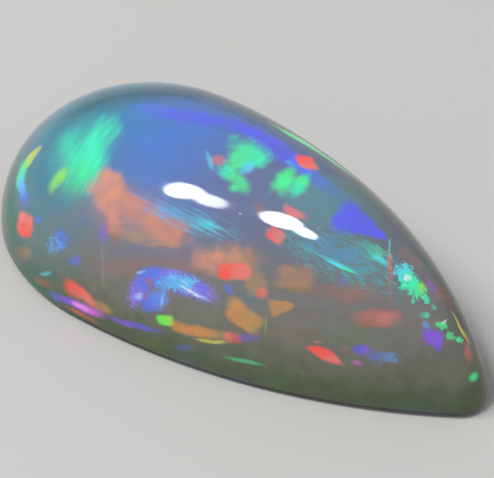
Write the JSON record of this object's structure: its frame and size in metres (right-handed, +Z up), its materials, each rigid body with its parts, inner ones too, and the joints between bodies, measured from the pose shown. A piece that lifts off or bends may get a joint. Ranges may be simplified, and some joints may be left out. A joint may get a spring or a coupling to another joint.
{
  "type": "pear opal cabochon",
  "caption": "Polished pear-shaped opal cabochon with a high domed crown, thin girdle, back bevel, flat back and play of colour.",
  "frame": {"origin": "middle of the stone's length and width, on the flat back", "axes": "+X from the round head to the blunt tip, +Z up through the crown"},
  "size_m": [0.018, 0.009, 0.0058],
  "materials": {
    "opal": "milky translucent opal with a high gloss polish and patches of spectral colour"
  },
  "bodies": {
    "root": {"opal_cabochon": "opal"}
  },
  "joints": []
}
